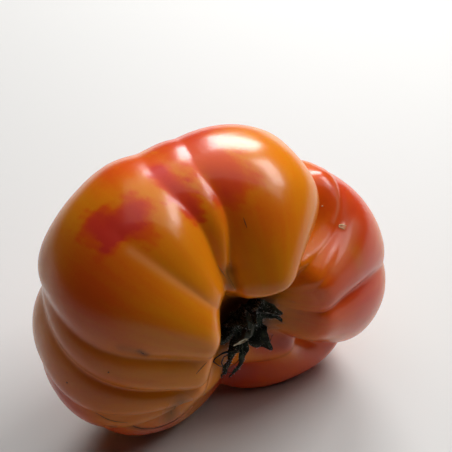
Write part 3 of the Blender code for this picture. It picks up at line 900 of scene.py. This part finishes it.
def stalkMaterial():
    # dried tomato stalk: ribbed herbaceous stem that dried to a dull grey-green, with a pale fibrous
    # broken end
    material, tree, shader = newMaterial("dryStalk")
    place = addNode(tree, "ShaderNodeTexCoord").outputs["Object"]
    cut = addNode(tree, "ShaderNodeAttribute", attribute_name="cut").outputs["Fac"]
    blotches = addNode(tree, "ShaderNodeTexNoise", {"Vector": place, "Scale": 700.0, "Detail": 3.0})
    bark = addNode(tree, "ShaderNodeValToRGB", {0: blotches})
    fillRamp(bark, [(0.3, "#14170E"), (0.55, "#2A2D1C"), (0.75, "#474833")])
    fibres = addNode(tree, "ShaderNodeValToRGB", {0: blotches})
    fillRamp(fibres, [(0.3, "#8A8068"), (0.6, "#C8BFA4")])
    colour = addNode(tree, "ShaderNodeMix", {0: cut, 6: bark, 7: fibres}, data_type="RGBA")
    # fibres about 0.3 mm apart
    grain = addNode(tree, "ShaderNodeTexNoise", {"Vector": place, "Scale": 3300.0, "Detail": 2.0})
    bump = addNode(tree, "ShaderNodeBump", {"Height": grain, "Strength": 0.5, "Distance": 0.0002})
    setInputs(tree, shader, {"Base Color": colour, "Normal": bump, "Roughness": 0.8})
    return material


def makeStalk():
    rings, cut = stalkRings()
    mesh = closedMesh("stalkStub", rings)
    outwardFaces(mesh)
    sides = rings.shape[1]
    setAttribute(mesh, "cut", np.concatenate([cut[:1], cut[sides:-sides], cut[-1:]]))
    return newPiece("stalkStub", mesh, stalkMaterial())


stalkStub = makeStalk()
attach(stalkStub, "root")
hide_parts("stem_stub")
print("stalk done", len(stalkStub.data.polygons), "faces")

# Corky lines and specks in the skin: angle and turn pairs, half width in mm, tone from 0 (dark) to 1

scars = [
    ("streak on the left foot", [(217, 38), (208, 31), (194, 25)], 0.18, 0.3),
    ("crack", [(202, 61), (213, 56), (224, 50), (231, 46), (234, 41)], 0.26, 0.0),
    ("second crack", [(193, 63), (197, 58), (201, 51)], 0.15, 0.3),
    ("crease on the left", [(170, 21), (166, 19.5), (162, 18)], 0.14, 0.25),
    ("mark on the left", [(159, 39.5), (160, 38)], 0.16, 0.2),
    ("line by the cavity", [(111, 32), (111, 28), (110, 24)], 0.15, 0.6),
    ("second line by the cavity", [(108, 27), (109, 23), (110, 19)], 0.14, 0.5),
    ("speck on the left foot", [(179, 71), (179.5, 70.5)], 0.3, 0.1),
    ("speck on the left", [(170, 50), (170.4, 49.6)], 0.28, 0.1),
    ("speck on the crown", [(93, 49), (93, 44)], 0.14, 0.25),
    ("pale dot", [(42, 62), (42.4, 61.6)], 0.25, 0.95),
    ("second pale dot", [(41, 48), (41.4, 47.6)], 0.22, 0.95),
    ("scar on the right", [(32, 54), (34, 53.5), (34, 52), (32, 51.8)], 0.28, 0.95),
]
scarSink = 0.35  # how far a thread's middle lies under the skin, as a share of its half width


def scarMaterial():
    # wound cork: dead tissue over a healed growth crack, so it is rough and brown to straw coloured
    material, tree, shader = newMaterial("woundCork")
    place = addNode(tree, "ShaderNodeTexCoord").outputs["Object"]
    tone = addNode(tree, "ShaderNodeAttribute", attribute_name="tone").outputs["Fac"]
    grains = addNode(tree, "ShaderNodeTexNoise", {"Vector": place, "Scale": 2500.0, "Detail": 2.0})
    grains = addNode(tree, "ShaderNodeMath", {0: grains, 1: 0.3, 2: -0.15}, operation="MULTIPLY_ADD")
    tone = addNode(tree, "ShaderNodeMath", {0: tone, 1: grains}, operation="ADD", use_clamp=True)
    ramp = addNode(tree, "ShaderNodeValToRGB", {0: tone})
    fillRamp(ramp, [(0.0, "#2A1A0C"), (0.3, "#5A3C1C"), (0.6, "#8C6238"), (1.0, "#D9BE90")])
    setInputs(tree, shader, {"Base Color": ramp, "Roughness": 0.8, "Specular IOR Level": 0.2})
    return material


def makeScars():
    # low ridges: threads whose middle lies a little under the skin
    threads = []
    points = getVectors(tomatoFruit.data, "co")
    normals = getVectors(tomatoFruit.data, "normal")
    for label, path, width, tone in scars:
        curve = pathOnSkin(path, fruitPoints, fruitAngles, fruitTurns)
        s = np.linspace(0, 1, len(curve))
        nearest = [int(((points - p) ** 2).sum(1).argmin()) for p in curve]
        # thin at both ends and a little uneven
        widths = width / 1000 * (0.25 + 0.75 * np.sin(math.pi * s)) * (1 + 0.2 * np.sin(s * 31))
        depth = ((points[nearest] - curve) * normals[nearest]).sum(1) - scarSink * widths
        threads.append((curve + normals[nearest] * depth[:, None], widths, tone))
    return sweepThreads("corkyScars", threads, scarMaterial())


corkyScars = makeScars()
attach(corkyScars, "root")
print("scars done", len(corkyScars.data.polygons), "faces")

# Hairs on the calyx

hairs = {"Density": 1.6e6, "Length": 0.0007, "Thickness": 0.00004, "Seed": 4}


def hairTree():
    # short hairs that stand on the faces of a mesh, leaning at random
    inputs = [("Density", "Float"), ("Length", "Float"), ("Thickness", "Float"), ("Seed", "Int")]
    tree, given = newTree("sepalHairs", inputs)
    spots = addNode(
        tree, "GeometryNodeDistributePointsOnFaces",
        {"Mesh": given["Geometry"], "Density": given["Density"], "Seed": given["Seed"]},
    )
    # lean up to about 30 degrees, turned any way about the normal
    lean = addNode(
        tree, "FunctionNodeRandomValue", {0: (-0.5, -0.5, 0.0), 1: (0.5, 0.5, 6.28)},
        data_type="FLOAT_VECTOR",
    )
    turned = addNode(
        tree, "FunctionNodeRotateRotation", {0: spots.outputs["Rotation"], 1: lean},
        rotation_space="LOCAL",
    )
    size = addNode(tree, "FunctionNodeRandomValue", {2: 0.5, 3: 1.2}, data_type="FLOAT")
    cone = addNode(
        tree, "GeometryNodeMeshCone",
        {
            "Vertices": 3, "Radius Top": 0.000004, "Radius Bottom": given["Thickness"],
            "Depth": given["Length"],
        },
    )
    placed = addNode(
        tree, "GeometryNodeInstanceOnPoints",
        {
            "Points": spots.outputs["Points"], "Instance": cone.outputs["Mesh"],
            "Rotation": turned, "Scale": size,
        },
    )
    endTree(tree, given, placed)
    return tree


def hairMaterial():
    # dried glandular hairs: fine and dull, so they only veil the dark leaf
    material, tree, shader = newMaterial("sepalHair")
    setInputs(tree, shader, {"Base Color": toLinear("#4A4C3C"), "Roughness": 0.7})
    return material


def makeHairs():
    mesh = applyTree("sepalHairs", driedCalyx.data.copy(), hairTree(), hairs, hairMaterial())
    return newPiece("sepalHairs", mesh, mesh.materials[0])


sepalHairs = makeHairs()
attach(sepalHairs, "root")
print("hairs done", len(sepalHairs.data.polygons), "faces")

# Floor, lights and camera

floorMesh = bpy.data.meshes.new("floor")
floorMesh.from_pydata([(-3, -3, 0), (3, -3, 0), (3, 3, 0), (-3, 3, 0)], [], [(0, 1, 2, 3)])
floorMaterial, floorTree, floorShader = newMaterial("paleTable")
setInputs(floorTree, floorShader, {"Base Color": toLinear("#D2D0CC"), "Roughness": 0.7})
floor = bpy.data.objects.new("floor", floorMesh)
bpy.context.scene.collection.objects.link(floor)
floorMesh.materials.append(floorMaterial)

fruitMiddle = Vector((0, 0, 0.05))
lights = {
    # azimuth and elevation of each panel seen from the fruit, distance, width, height, watts
    "backWindow": (147, 30, 1.0, 0.44, 0.36, 7.0),
    "sideWindow": (94, 51, 1.0, 0.60, 0.26, 5.8),
    "rightWindow": (56, 54, 1.0, 0.30, 0.30, 0.9),
    "ceiling": (150, 72, 1.0, 1.2, 1.2, 4.8),
}


def addPanel(name, azimuth, elevation, distance, width, height, power):
    back = direction(azimuth, elevation)
    light = bpy.data.lights.new(name, "AREA")
    light.shape = "RECTANGLE"
    light.size, light.size_y = width, height
    light.energy = power
    light.color = toLinear("#FCFDFF")[:3]
    panel = bpy.data.objects.new(name, light)
    panel.location = fruitMiddle + back * distance
    panel.rotation_euler = (-back).to_track_quat("-Z", "Y").to_euler()
    bpy.context.scene.collection.objects.link(panel)


for name, settings in lights.items():
    addPanel(name, *settings)

world = bpy.data.worlds.new("softStudio")
world.use_nodes = True
backdrop = world.node_tree.nodes["Background"]
setInputs(world.node_tree, backdrop, {"Color": toLinear("#EEF2F8"), "Strength": 0.012})
bpy.context.scene.world = world
bpy.context.scene.view_settings.view_transform = "Standard"

camera = {
    "azimuth": -28,
    "elevation": 40,
    "distance": 0.315,
    "view": 25,  # width of the field of view, in degrees
    "target": (0.0067, 0.0073, 0.0616),
}
back = direction(camera["azimuth"], camera["elevation"])
lens = bpy.data.cameras.new("camera")
lens.sensor_width = 36
lens.lens = lens.sensor_width / 2 / math.tan(math.radians(camera["view"] / 2))
lens.clip_start = 0.01
viewer = bpy.data.objects.new("camera", lens)
viewer.location = Vector(camera["target"]) + back * camera["distance"]
viewer.rotation_euler = (-back).to_track_quat("-Z", "Y").to_euler()
bpy.context.scene.collection.objects.link(viewer)
bpy.context.scene.camera = viewer
print("floor, lights and camera done")
